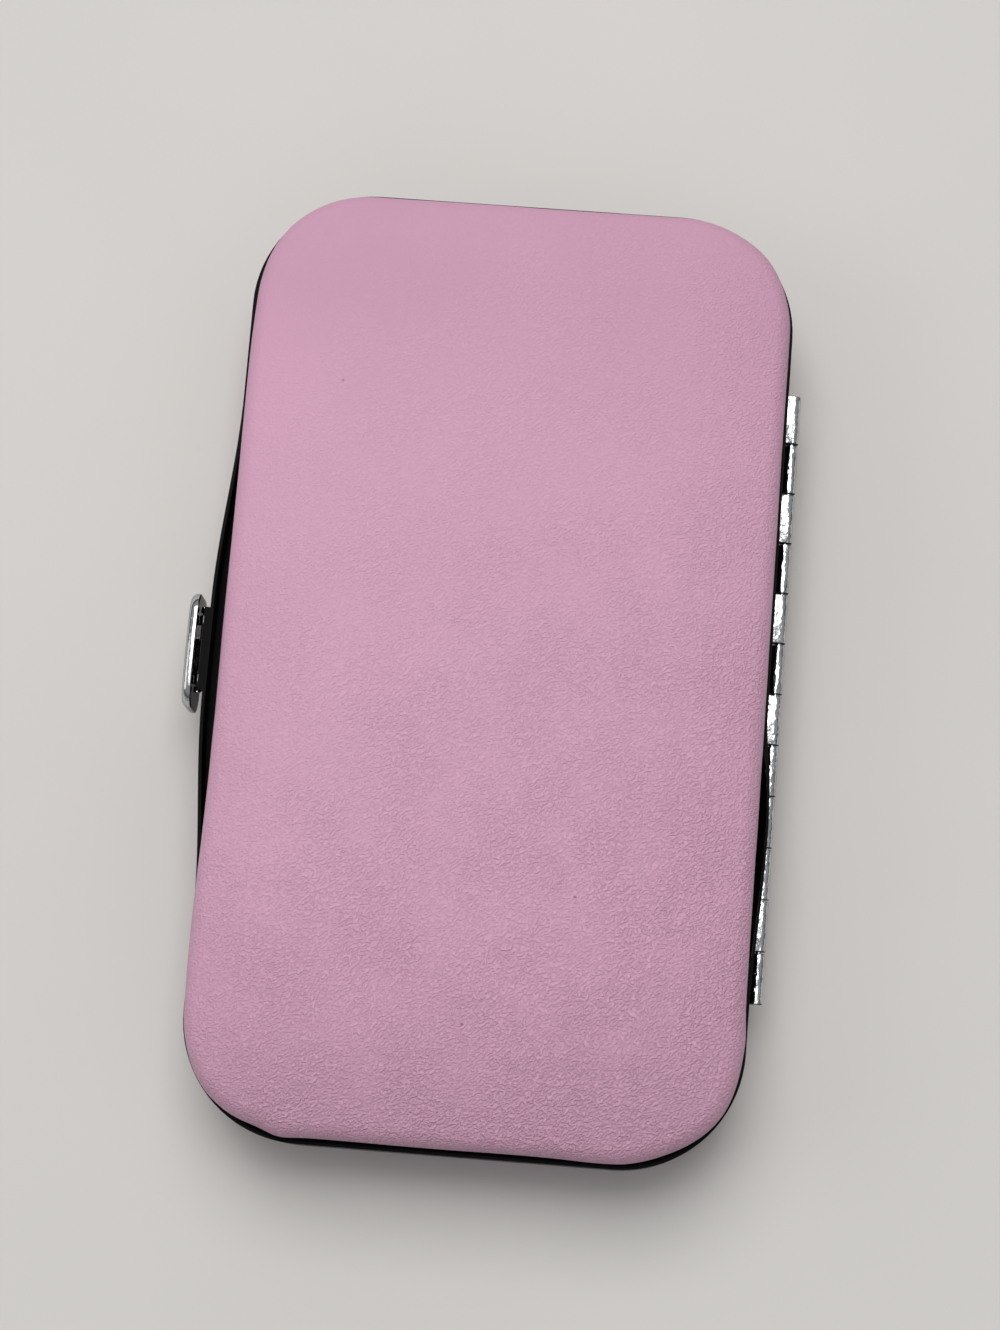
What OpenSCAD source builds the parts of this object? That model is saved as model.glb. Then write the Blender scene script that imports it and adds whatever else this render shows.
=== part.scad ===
// Slim manicure set case, shown closed. Two padded leatherette halves sit in black
// steel channel frames, joined by a piano hinge on one long side and held shut by
// a rocking chrome clasp on the other. Boards with elastic loops hold the tools.
//
// +Z is up and +Y runs along the case. The hinge is on the +X side, the clasp on -X.
// The origin is the middle of the flat field that the closed case rests on.
// Each half is drawn once, rising from the plane where the halves meet: the upper
// half stands on that plane and the lower half is the same shape turned over.

/* [Case] */
// Width of the padded cover at its widest line
cover_w = 64; // [60:0.5:70]
// Length of the padded cover at its widest line
cover_l = 112; // [104:1:120]
// Corner radius of the padded cover
cover_r = 13.5; // [13:0.5:15]
// Thickness of the closed case
case_h = 19; // [19:0.5:21]

/* [Padding] */
// Leatherette thickness
skin_t = 0.8; // [0.7:0.1:0.9]
// Foam thickness over the flat of the shell
foam_t = 1.0; // [0.8:0.1:1.2]
// Wall thickness of the stiff shell under the foam
shell_t = 0.9; // [0.8:0.1:1]
// Radius of the soft shoulder where the top rolls over
shoulder_r = 2.6; // [2.4:0.1:3]
// How far the cover is drawn in where it tucks into the frame
tuck = 0.6; // [0.5:0.1:0.7]

/* [Frame] */
// Height of each channel frame above the meeting plane
frame_h = 4.2; // [4:0.1:4.4]
// Sheet thickness of the channel walls
wall_t = 0.4; // [0.3:0.05:0.45]
// How far the frame stands out past the cover on the long sides
frame_out_x = 0.4; // [0.3:0.1:0.5]
// How far the frame stands out past the cover at the ends
frame_out_y = 0.7; // [0.6:0.1:0.8]
// Outward swell of both frames at the clasp
clasp_swell = 1.5; // [1:0.1:1.6]
// Outward swell of the upper frame over the hinge
hinge_swell = 1.2; // [0.6:0.1:1.3]

/* [Hinge] */
// Number of knuckles, both leaves together
knuckles = 12; // [10:2:12]
// Length of hinge taken by one knuckle
knuckle_pitch = 6.1; // [5.5:0.1:6.2]
// Outside radius of a knuckle
knuckle_r = 0.8; // [0.8:0.01:0.82]
// Hinge pin radius
hinge_pin_r = 0.36; // [0.34:0.01:0.37]

/* [Clasp] */
// Length of the oval clasp plate
plate_l = 14; // [12:0.1:14]
// Height of the oval clasp plate
plate_h = 9; // [8.6:0.1:9]
// Thickness of the clasp plate
plate_t = 1.2; // [0.8:0.05:1.3]
// Height of the clasp's pivot above the meeting plane
pivot_s = 1.9; // [1.8:0.1:2]
// Clasp pin radius
clasp_pin_r = 0.28; // [0.26:0.01:0.29]

/* [Tool loops] */
// Width of the elastic bands along the case
band_w = 12; // [10:1:14]
// Thickness of the elastic
band_t = 0.6; // [0.4:0.1:0.7]

/* [Hidden] */

round_fn = 96;
small_fn = 48;
over = 1;

// Colours
pink = [0.79, 0.62, 0.70];
black_paint = [0.06, 0.06, 0.07];
chrome_plate = [0.78, 0.79, 0.80];
lining_black = [0.10, 0.10, 0.11];
foam_white = [0.90, 0.88, 0.82];
shell_grey = [0.30, 0.30, 0.32];

// The meeting plane and the middle of the corner rounds
half_h = case_h / 2;
corner_x = cover_w / 2 - cover_r;
corner_y = cover_l / 2 - cover_r;

// Cover profile, measured out from the middle of a corner round
split_gap = 0.1;
web_t = 0.3;
rim_s = 0.95;
widest_s = 5.6;
roll_r = 1.6;
crown_start = 1.5;
shoulder_x = cover_r - shoulder_r;
crown_rise = half_h - widest_s;
crown_r = (pow(shoulder_x - crown_start, 2) / (crown_rise - shoulder_r)
    + crown_rise + shoulder_r) / 2;
crown_turn = acos((shoulder_x - crown_start) / (crown_r - shoulder_r));
crown_steps = 6;

// Shell, lining and board under the cover
shell_top = half_h - skin_t - foam_t;
shell_out = cover_r - tuck - skin_t;
shell_round = 3.2;
wall_out = shell_out - shell_t;
lining_t = 0.3;
lining_s = 2.7;
board_t = 0.8;
board_edge = 5;
board_top = shell_top - shell_t - lining_t;
board_face = board_top - board_t;
board_w = cover_w - 2 * board_edge;
board_l = cover_l - 2 * board_edge;
board_r = cover_r - board_edge;

// Channel frame
frame_x = cover_w / 2 + frame_out_x;
frame_y = cover_l / 2 + frame_out_y;
frame_r = cover_r + 0.7;
inner_wall_h = 2.6;
inner_wall_t = 0.5;
inner_wall_fit = 0.05;
inner_wall_out = wall_out - inner_wall_fit;
land_half = 5.2;
land_x = frame_x + clasp_swell;
clasp_swell_len = 26;
hinge_swell_y = -16;
hinge_swell_up = 13;
hinge_swell_down = 24;
hinge_swell_from = 1.2;
hinge_swell_full = 2.8;
swell_root = 3;
swell_steps = 16;

// Piano hinge
leaf_t = knuckle_r - split_gap - web_t;
hinge_gap = 0.12;
pin_x = frame_x + hinge_gap + knuckle_r;
knuckle_gap = 0.25;
knuckle_l = knuckle_pitch - knuckle_gap;
slot_play = 0.15;
pin_short = 0.2;
hinge_l = knuckles * knuckle_pitch;
running_fit = 0.04;
leaf_w = 1.9;
leaf_fit = 0.05;
seam_from = 146;
seam_to = 159;

// Clasp, measured out from the flat land on the frames
pivot_u = 0.9;
plate_u = 1.43;
plate_rim = 0.35;
lug_r = 0.55;
lug_y = 3.55;
lug_w = 1.1;
lug_tab = 0.33;
bracket_half = 4.95;
bracket_low = 0.5;
bracket_top = 3.55;
spine_t = 0.3;
hood_u = 0.75;
ear_t = 0.5;
ear_r = 0.48;
pin_head_r = 0.42;
pin_head_t = 0.2;
hook_top = -3.2;
hook_t = 0.6;
hook_tip_u = 0.25;
hook_w = 4.6;
catch_low = -3.05;
catch_mid = -2.4;
catch_high = -1.2;
catch_u = 0.85;
catch_w = 5;

// Torsion spring round the clasp pin, between the lugs
wire_r = 0.12;
wire_sides = 6;
coil_r = 0.41;
coil_pitch = 0.7;
coil_turns = 3.5;
rings_per_turn = 8;
leg_low = pivot_s + 0.3;
leg_top = 3.05;
coil_steps = coil_turns * rings_per_turn;
coil_y0 = coil_pitch * coil_turns / 2;

// Elastic loops, with their outside widths from the clasp side
lower_loops = [13, 8, 8, 11];
upper_loops = [9, 14, 9];
band_y = 6;
band_edge = 3;
loop_clear = 0.4;
loop_h = board_face - loop_clear;
loop_r = 2.4;

// Placing

module upper_half() {
    translate([0, 0, half_h]) children();
}

module lower_half() {
    translate([0, 0, half_h]) mirror([0, 0, 1]) children();
}

// X runs outwards from the clasp's land, Z up from the meeting plane
module at_clasp() {
    translate([0, 0, half_h]) mirror([1, 0, 0]) translate([land_x, 0, 0]) children();
}

// A profile drawn across and up, drawn out along the case
module along_y(length) {
    rotate([90, 0, 0]) linear_extrude(length, center = true) children();
}

module rounded(half_x, half_y, r) {
    square([2 * half_x, 2 * (half_y - r)], center = true);
    square([2 * (half_x - r), 2 * half_y], center = true);
    for (x = [-1, 1], y = [-1, 1])
        translate([x * (half_x - r), y * (half_y - r)]) circle(r, $fn = round_fn);
}

// Same plan as the cover, its corners turned about the same four middles
module inset_plan(r) {
    rounded(corner_x + r, corner_y + r, r);
}

// Padded pans: one profile turned at the corners and drawn along the sides

module swept_pan(low, top) {
    for (i = [0:3])
        translate([(i == 0 || i == 3 ? 1 : -1) * corner_x, (i < 2 ? 1 : -1) * corner_y, 0])
            rotate([0, 0, 90 * i]) rotate_extrude(angle = 90, $fn = round_fn) children();
    for (i = [0, 1]) mirror([i, 0, 0])
        translate([corner_x, 0, 0]) along_y(2 * corner_y) children();
    for (i = [0, 1]) mirror([0, i, 0]) rotate([0, 0, 90])
        translate([corner_y, 0, 0]) along_y(2 * corner_x) children();
    translate([-corner_x, -corner_y, low]) cube([2 * corner_x, 2 * corner_y, top - low]);
}

// Half profile of the cushion: a tuck, a rolled edge, a shoulder and a low crown
module cushion_profile(inset, low) {
    translate([0, low]) square([cover_r - tuck - inset, widest_s - low]);
    intersection() {
        translate([cover_r - roll_r, widest_s]) circle(roll_r - inset, $fn = round_fn);
        translate([0, widest_s - roll_r]) square([cover_r, roll_r]);
    }
    crown_profile(inset);
}

// The shoulder and the crown meet on one ray, so every inset runs on smoothly.
// The crown's piece reaches a little past the shoulder's middle, to join it.
module crown_profile(inset) {
    ray = 2 * shoulder_r;
    lap = shoulder_r / 5;
    intersection() {
        translate([shoulder_x, widest_s]) circle(shoulder_r - inset, $fn = round_fn);
        translate([shoulder_x, widest_s]) polygon([[0, 0], [ray, 0], [ray, ray],
            ray * [cos(crown_turn), sin(crown_turn)]]);
    }
    polygon(concat([[0, widest_s], [shoulder_x + lap, widest_s]], crown_arc(inset),
        [[0, half_h - inset]]));
}

function crown_arc(inset) = [for (i = [0:crown_steps])
    let (turn = crown_turn + (90 - crown_turn) * i / crown_steps)
    [crown_start + (crown_r - inset) * cos(turn),
        half_h - crown_r + (crown_r - inset) * sin(turn)]];

// Half profile of a stiff pan: a straight wall and one rounded edge
module pan_profile(out, low, top, r) {
    translate([0, low]) square([out - r, top - low]);
    translate([0, low]) square([out, top - r - low]);
    translate([out - r, top - r]) circle(r, $fn = small_fn);
}

module cover_half() {
    difference() {
        swept_pan(rim_s, half_h) cushion_profile(0, rim_s);
        swept_pan(rim_s - over, half_h - skin_t) cushion_profile(skin_t, rim_s - over);
    }
}

module shell_solid(low) {
    swept_pan(low, shell_top) pan_profile(shell_out, low, shell_top, shell_round);
}

module foam_half() {
    difference() {
        swept_pan(widest_s, half_h - skin_t) crown_profile(skin_t);
        shell_solid(rim_s);
    }
}

module shell_half() {
    difference() {
        shell_solid(rim_s);
        swept_pan(rim_s - over, shell_top - shell_t)
            pan_profile(wall_out, rim_s - over, shell_top - shell_t, shell_round - shell_t);
    }
}

module lining_half() {
    top = shell_top - shell_t;
    round_out = shell_round - shell_t;
    difference() {
        swept_pan(lining_s, top) pan_profile(wall_out, lining_s, top, round_out);
        swept_pan(lining_s - over, top - lining_t)
            pan_profile(wall_out - lining_t, lining_s - over, top - lining_t,
                round_out - lining_t);
    }
}

module board_half() {
    translate([0, 0, board_face]) linear_extrude(board_t)
        rounded(board_w / 2, board_l / 2, board_r);
}

module lower_cover() {
    color(pink) lower_half() cover_half();
}

module upper_cover() {
    color(pink) upper_half() cover_half();
}

module lower_foam() {
    color(foam_white) lower_half() foam_half();
}

module upper_foam() {
    color(foam_white) upper_half() foam_half();
}

module lower_shell() {
    color(shell_grey) lower_half() shell_half();
}

module upper_shell() {
    color(shell_grey) upper_half() shell_half();
}

module lower_lining() {
    color(lining_black) lower_half() lining_half();
}

module upper_lining() {
    color(lining_black) upper_half() lining_half();
}

module lower_board() {
    color(lining_black) lower_half() board_half();
}

module upper_board() {
    color(lining_black) upper_half() board_half();
}

// Channel frames

// A swell off a straight side: a flat land, and an eased slope down to the side at
// each end of it.
module swell(reach, land, up, down) {
    first = land > 0 ? 0 : 1;
    rise = [for (i = [0:swell_steps]) i / swell_steps];
    fall = [for (i = [first:swell_steps]) i / swell_steps];
    polygon(concat(
        [[-swell_root, -land - down]],
        [for (t = rise) [reach * (1 - cos(180 * t)) / 2, down * (t - 1) - land]],
        [for (t = fall) [reach * (1 + cos(180 * t)) / 2, up * t + land]],
        [[-swell_root, land + up]]));
}

// The outside of a channel, or its hollow when the wall thickness is taken off
module channel(inset, low, top, flared) {
    side = frame_x - inset;
    translate([0, 0, low]) linear_extrude(top - low)
        rounded(side, frame_y - inset, frame_r - inset);
    translate([-side, 0, low]) mirror([1, 0, 0]) linear_extrude(top - low)
        swell(clasp_swell, land_half, clasp_swell_len, clasp_swell_len);
    if (flared) translate([side, hinge_swell_y, 0]) hinge_flare(low, top);
}

// The upper frame flares out over the hinge: the swell is cut back by a slope
// that starts above the knuckles.
module hinge_flare(low, top) {
    slope = hinge_swell / (hinge_swell_full - hinge_swell_from);
    length = 2 * (hinge_swell_up + hinge_swell_down);
    intersection() {
        translate([0, 0, low]) linear_extrude(top - low)
            swell(hinge_swell, 0, hinge_swell_up, hinge_swell_down);
        along_y(length) polygon([[-swell_root, low - over], [0, low - over],
            [0, hinge_swell_from], [(top + over - hinge_swell_from) * slope, top + over],
            [-swell_root, top + over]]);
    }
}

module knuckle_slots(first) {
    for (k = [first:2:knuckles - 1])
        translate([frame_x - leaf_w / 2, knuckle_y(k), split_gap + web_t + leaf_t / 2])
            cube([leaf_w, knuckle_l + slot_play, leaf_t], center = true);
}

module frame_half(first, flared) {
    difference() {
        channel(0, split_gap, frame_h, flared);
        difference() {
            channel(wall_t, split_gap + web_t, frame_h + over, flared);
            linear_extrude(inner_wall_h) inset_plan(inner_wall_out);
        }
        translate([0, 0, -over]) linear_extrude(frame_h)
            inset_plan(inner_wall_out - inner_wall_t);
        knuckle_slots(first);
    }
}

module lower_frame() {
    color(black_paint) lower_half() frame_half(1, false);
}

module upper_frame() {
    color(black_paint) upper_half() frame_half(0, true);
}

// Piano hinge

function knuckle_y(k) = hinge_l / 2 - (k + 0.5) * knuckle_pitch;

// Section of a knuckle: the leaf runs in flat at the top, rolls round the pin
// and ends in an open seam under itself.
module curl_section(bore_r) {
    seam_r = 2 * knuckle_r;
    difference() {
        union() {
            difference() {
                circle(knuckle_r, $fn = small_fn);
                polygon([[0, 0], seam_r * [cos(seam_from), sin(seam_from)],
                    seam_r * [cos(seam_to), sin(seam_to)]]);
            }
            translate([frame_x - leaf_w / 2 - pin_x, knuckle_r - leaf_t])
                square([pin_x - frame_x + leaf_w / 2, leaf_t]);
        }
        circle(bore_r, $fn = small_fn);
    }
}

module hinge_leaf_half(first, bore_r) {
    for (k = [first:2:knuckles - 1])
        translate([pin_x, knuckle_y(k), 0]) along_y(knuckle_l) curl_section(bore_r);
    translate([frame_x - wall_t - leaf_fit - leaf_w, -hinge_l / 2, knuckle_r - leaf_t])
        cube([leaf_w, hinge_l, leaf_t]);
}

module lower_hinge_leaf() {
    color(chrome_plate) lower_half() hinge_leaf_half(1, hinge_pin_r);
}

module upper_hinge_leaf() {
    color(chrome_plate) upper_half() hinge_leaf_half(0, hinge_pin_r + running_fit);
}

module hinge_pin() {
    color(chrome_plate) translate([pin_x, 0, half_h])
        rotate([90, 0, 0]) cylinder(h = hinge_l - pin_short, r = hinge_pin_r,
            center = true, $fn = small_fn);
}

// Clasp

module clasp_bracket() {
    color(black_paint) at_clasp() {
        translate([0, -bracket_half, bracket_low])
            cube([spine_t, 2 * bracket_half, bracket_top - bracket_low]);
        translate([0, -bracket_half, bracket_top - spine_t])
            cube([hood_u, 2 * bracket_half, spine_t]);
        for (y = [-1, 1]) translate([0, y * (bracket_half - ear_t / 2), pivot_s])
            along_y(ear_t) difference() {
                union() {
                    translate([0, -ear_r]) square([pivot_u, 2 * ear_r]);
                    translate([pivot_u, 0]) circle(ear_r, $fn = small_fn);
                }
                translate([pivot_u, 0]) circle(clasp_pin_r, $fn = small_fn);
            }
    }
}

module clasp_pin() {
    color(chrome_plate) at_clasp() translate([pivot_u, 0, pivot_s]) rotate([90, 0, 0]) {
        cylinder(h = 2 * bracket_half, r = clasp_pin_r, center = true, $fn = small_fn);
        for (end = [-1, 1]) translate([0, 0, end * (bracket_half + pin_head_t / 2)])
            cylinder(h = pin_head_t, r = pin_head_r, center = true, $fn = small_fn);
    }
}

// Radial section of the clasp plate, its rim rounded on both faces
module plate_section() {
    square([plate_h / 2 - plate_rim, plate_t]);
    translate([0, plate_rim]) square([plate_h / 2, plate_t - 2 * plate_rim]);
    for (t = [plate_rim, plate_t - plate_rim])
        translate([plate_h / 2 - plate_rim, t]) circle(plate_rim, $fn = small_fn);
}

// The plate lies in Y and Z: a half turn at each end and a straight run between
module clasp_plate() {
    run = plate_l - plate_h;
    translate([plate_u, 0, 0]) rotate([90, 0, 90]) {
        for (end = [0, 1]) mirror([end, 0, 0]) translate([run / 2, 0, 0])
            rotate([0, 0, -90]) rotate_extrude(angle = 180, $fn = round_fn) plate_section();
        for (side = [0, 1]) mirror([0, side, 0]) rotate([90, 0, 90])
            linear_extrude(run, center = true) plate_section();
    }
}

module lug_section() {
    difference() {
        union() {
            circle(lug_r, $fn = small_fn);
            translate([0, -lug_r]) square([plate_u - pivot_u + plate_t / 2, lug_tab]);
        }
        circle(clasp_pin_r + running_fit, $fn = small_fn);
    }
}

module hook_section() {
    translate([hook_tip_u + hook_t / 2, hook_top - hook_t])
        square([plate_u + plate_t / 2 - hook_tip_u - hook_t / 2, hook_t]);
    translate([hook_tip_u + hook_t / 2, hook_top - hook_t / 2])
        circle(hook_t / 2, $fn = small_fn);
}

module clasp_lever() {
    color(chrome_plate) at_clasp() {
        clasp_plate();
        for (y = [-1, 1]) translate([pivot_u, y * lug_y, pivot_s])
            along_y(lug_w) lug_section();
        along_y(hook_w) hook_section();
    }
}

// The catch slopes on top, so that the hook rides over it as the case shuts
module clasp_catch() {
    color(black_paint) at_clasp() along_y(catch_w)
        polygon([[0, catch_high], [spine_t, catch_high], [catch_u, catch_mid],
            [catch_u, catch_low], [0, catch_low]]);
}

// Torsion spring: a straight leg on the plate, the coil, and a leg on the bracket

// Middle of the wire at a point of the route, as [out, along, up]
function wire_point(i) =
    i < 2 ? [pivot_u + coil_r, coil_y0, leg_top + (leg_low - leg_top) * i]
    : i > coil_steps + 2 ? [pivot_u - coil_r, -coil_y0,
        leg_low + (leg_top - leg_low) * (i - coil_steps - 3)]
    : coil_point(360 * (i - 2) / rings_per_turn);

function coil_point(turned) = [pivot_u + coil_r * cos(turned),
    coil_y0 - coil_pitch * turned / 360, pivot_s - coil_r * sin(turned)];

wire_points = [for (i = [0:coil_steps + 4]) wire_point(i)];
wire_last = len(wire_points) - 1;

function unit(v) = v / norm(v);

function wire_run(i) = unit(wire_points[min(i + 1, wire_last)] - wire_points[max(i - 1, 0)]);

// Six points round the wire, square to its run
function wire_ring(i) =
    let (side = unit(cross(wire_run(i), [0, 1, 0])), lift = cross(side, wire_run(i)))
    [for (k = [0:wire_sides - 1])
        wire_points[i] + wire_r * (cos(360 * k / wire_sides) * side
            + sin(360 * k / wire_sides) * lift)];

echo(least_gap_between_turns = min([for (i = [2:coil_steps + 2 - rings_per_turn])
    norm(wire_points[i + rings_per_turn] - wire_points[i])]) - 2 * wire_r);

module clasp_spring() {
    rings = [for (i = [0:wire_last]) each wire_ring(i)];
    walls = [for (i = [0:wire_last - 1], k = [0:wire_sides - 1])
        let (a = i * wire_sides + k, b = i * wire_sides + (k + 1) % wire_sides)
        each [[a, b, b + wire_sides], [a, b + wire_sides, a + wire_sides]]];
    first_end = [for (k = [1:wire_sides - 2]) [0, k + 1, k]];
    base = wire_last * wire_sides;
    last_end = [for (k = [1:wire_sides - 2]) [base, base + k, base + k + 1]];
    color(chrome_plate) at_clasp()
        polyhedron(rings, concat(walls, first_end, last_end));
}

// Elastic loops, stitched to the boards

// One loop: an arch with rounded shoulders, open along the case
module loop_section(width) {
    difference() {
        arch(width / 2, loop_h, loop_r);
        translate([0, -over]) arch(width / 2 - band_t, loop_h - band_t + over, loop_r - band_t);
    }
}

module arch(half_w, height, r) {
    translate([-half_w, 0]) square([2 * half_w, height - r]);
    translate([-half_w + r, 0]) square([2 * (half_w - r), height]);
    for (x = [-1, 1])
        translate([x * (half_w - r), height - r]) circle(r, $fn = small_fn);
}

function sum_to(list, n) = n <= 0 ? 0 : list[n - 1] + sum_to(list, n - 1);

// The loops share the board's width, with equal flat stretches between them
module band_section(loops) {
    span = board_w - 2 * band_edge;
    flat = (span - sum_to(loops, len(loops))) / (len(loops) + 1);
    difference() {
        translate([-span / 2, 0]) square([span, band_t]);
        for (i = [0:len(loops) - 1])
            translate([loop_x(loops, i, span, flat), 0])
                square([loops[i] - band_t, 4 * band_t], center = true);
    }
    for (i = [0:len(loops) - 1])
        translate([loop_x(loops, i, span, flat), 0]) loop_section(loops[i]);
}

function loop_x(loops, i, span, flat) =
    -span / 2 + flat * (i + 1) + sum_to(loops, i) + loops[i] / 2;

module band_half(loops) {
    translate([0, band_y, board_face]) mirror([0, 0, 1]) along_y(band_w)
        band_section(loops);
}

module lower_tool_loops() {
    color(lining_black) lower_half() band_half(lower_loops);
}

module upper_tool_loops() {
    color(lining_black) upper_half() band_half(upper_loops);
}

lower_cover();
lower_foam();
lower_shell();
lower_frame();
lower_lining();
lower_board();
lower_tool_loops();
lower_hinge_leaf();
hinge_pin();
clasp_catch();
upper_cover();
upper_foam();
upper_shell();
upper_frame();
upper_lining();
upper_board();
upper_tool_loops();
upper_hinge_leaf();
clasp_bracket();
clasp_pin();
clasp_spring();
clasp_lever();
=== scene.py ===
import math

import bmesh
import bpy
from mathutils import Matrix, Vector, noise


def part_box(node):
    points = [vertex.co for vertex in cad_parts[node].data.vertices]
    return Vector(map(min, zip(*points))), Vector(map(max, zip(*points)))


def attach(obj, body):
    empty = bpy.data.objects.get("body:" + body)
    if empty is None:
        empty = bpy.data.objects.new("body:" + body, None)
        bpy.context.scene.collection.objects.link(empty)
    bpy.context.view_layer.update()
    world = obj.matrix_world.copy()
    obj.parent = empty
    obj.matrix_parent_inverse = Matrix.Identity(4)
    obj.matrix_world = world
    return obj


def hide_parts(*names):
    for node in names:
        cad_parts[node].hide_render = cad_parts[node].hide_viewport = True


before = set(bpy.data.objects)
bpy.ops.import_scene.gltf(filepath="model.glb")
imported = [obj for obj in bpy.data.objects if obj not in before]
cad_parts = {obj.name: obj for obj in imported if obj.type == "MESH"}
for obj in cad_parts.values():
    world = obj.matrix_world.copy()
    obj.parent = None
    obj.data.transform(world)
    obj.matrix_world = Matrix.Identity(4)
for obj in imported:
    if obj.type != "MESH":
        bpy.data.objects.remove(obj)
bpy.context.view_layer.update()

bl_info = {
    "name": "Manicure Set Case",
    "version": (1, 0, 0),
    "blender": (4, 5, 0),
    "location": "View3D > Sidebar > Case",
    "description": "Dresses a slim hinged manicure case in leatherette, enamel and chrome",
    "category": "Object",
}

MM = 0.001

# How far apart points may lie and still be merged, in mm: in made pieces, and in CAD nodes
MERGE_MADE = 0.002
MERGE_CAD = 0.0008

# Faces that turn by less than this, in degrees, are made one flat
FLAT_TURN = 0.4

HALVES = {"lower": -1, "upper": 1}
BODY_OF_HALF = {"lower": "base", "upper": "lid"}

# The closed case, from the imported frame
COVER_LOW, COVER_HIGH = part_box("upper_cover")
COVER_W = (COVER_HIGH.x - COVER_LOW.x) / MM
COVER_L = (COVER_HIGH.y - COVER_LOW.y) / MM
CASE_H = COVER_HIGH.z / MM
HALF_H = CASE_H / 2
BOARD_LOW, BOARD_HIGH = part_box("lower_board")
BOARD_W = (BOARD_HIGH.x - BOARD_LOW.x) / MM
BOARD_L = (BOARD_HIGH.y - BOARD_LOW.y) / MM
BOARD_R = 8.5
BOARD_T = (BOARD_HIGH.z - BOARD_LOW.z) / MM
BOARD_BACK = HALF_H - BOARD_LOW.z / MM
BAND_LOW, BAND_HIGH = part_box("lower_tool_loops")
BAND_FROM = BAND_LOW.y / MM
BAND_TO = BAND_HIGH.y / MM
BAND_SPAN = (BAND_HIGH.x - BAND_LOW.x) / MM
LOOP_H = (BAND_HIGH.z - BAND_LOW.z) / MM
BAND_T = 0.6
LOOP_R = 2.4
FOOT_R = 0.5
THREAD_R = 0.1

# Middle and width of each tool loop
LOOPS = {
    "lower": ((-15.9, 13), (-3.8, 8), (5.8, 8), (16.9, 11)),
    "upper": ((-15.5, 9), (0, 14), (15.5, 9)),
}

# The clasp: its plate, the pin's middle in X and Z, the curled lugs and the spring
PLATE_LOW, PLATE_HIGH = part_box("clasp_lever")
PLATE_OUT = PLATE_LOW.x / MM
PLATE_T = 1.2
PLATE_CORNER = 2.4
PLATE_SHORT = 0.3
PLATE_EDGE_R = 0.12
PLATE_ROLL_AT = 0.3
PLATE_ROLL_R = 0.8
PLATE_ARCH = 0.5
PIN = (-34.8, 11.4)
LUG_Y = 3.55
LUG_W = 1.1
LUG_MID = 0.385
LUG_T = 0.31
HOOK_W = 4.6
HOOK_TIP = -34.2
HOOK_Z = 6.13
HOOK_BEND_R = 0.4
COIL_R = 0.41
WIRE_R = 0.12
COIL_Y = 1.225
COIL_PITCH = 0.7
COIL_TURNS = 3.5
LEG_TOP = 12.55

# The upper frame's flare over the hinge: its reach, where it starts, the share of it that is
# drawn in, and where along the case that fades
FLARE_REACH = 1.2
FLARE_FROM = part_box("upper_frame")[1].x / MM - FLARE_REACH
FLARE_DRAWN = 0.25
FLARE_FADE = (-14, -8)

# The section of a padded half, out from the middle of a corner and up from the split
CORNER_R = 13.5
CORNER_X = COVER_W / 2 - CORNER_R
CORNER_Y = COVER_L / 2 - CORNER_R
RIM_S = 0.97
TUCK_R = CORNER_R - 0.6
WIDEST_S = 5.6
ROLL_R = 1.6
SHOULDER_R = 2.6
CROWN_START = 1.5
TUCK_S = 2.2
SHELL_TOP = HALF_H - 1.8
SHELL_R = 12.1
SHELL_ROUND = 3.2
SHELL_T = 0.9
LINING_T = 0.3
LINING_RIM_S = 2.7
CLEAR = 0.03
OFF_FLOOR = 0.01


class CaseSizes(bpy.types.PropertyGroup):
    """Sizes that a user would change, in millimetres."""

    grain: bpy.props.FloatProperty(
        name="Leather grain", description="Width of the crests in the leatherette's grain, in mm",
        default=0.22, min=0.15, max=1.0)
    grain_depth: bpy.props.FloatProperty(
        name="Grain depth", description="Height of the grain's crests, in mm",
        default=0.18, min=0.0, max=0.3)
    ease: bpy.props.FloatProperty(
        name="Pad unevenness", description="How far the stretched pad strays from its form, in mm",
        default=0.05, min=0.0, max=0.3)
    metal_edge: bpy.props.FloatProperty(
        name="Metal edge", description="Width of the broken edge on pressed metal, in mm",
        default=0.07, min=0.02, max=0.15)
    pad_shift_x: bpy.props.FloatProperty(
        name="Pad shift across", description="How far the upper pad sits off centre, in mm",
        default=0.0, min=-0.3, max=0.3)
    pad_shift_y: bpy.props.FloatProperty(
        name="Pad shift along", description="How far the upper pad sits off centre, in mm",
        default=0.05, min=-0.3, max=0.3)


class CaseColours(bpy.types.PropertyGroup):
    """Colours that a user would change."""

    leatherette: bpy.props.FloatVectorProperty(
        name="Leatherette", description="Colour of the padded covers",
        subtype="COLOR", size=3, default=(0.621, 0.342, 0.48), min=0, max=1)
    enamel: bpy.props.FloatVectorProperty(
        name="Enamel", description="Colour of the frames",
        subtype="COLOR", size=3, default=(0.003, 0.003, 0.0034), min=0, max=1)
    chrome: bpy.props.FloatVectorProperty(
        name="Chrome", description="Colour of the plated metal",
        subtype="COLOR", size=3, default=(0.64, 0.65, 0.66), min=0, max=1)
    lining: bpy.props.FloatVectorProperty(
        name="Lining", description="Colour of the flocked lining and boards",
        subtype="COLOR", size=3, default=(0.018, 0.017, 0.018), min=0, max=1)
    elastic: bpy.props.FloatVectorProperty(
        name="Elastic", description="Colour of the tool loops",
        subtype="COLOR", size=3, default=(0.014, 0.014, 0.015), min=0, max=1)


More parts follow.
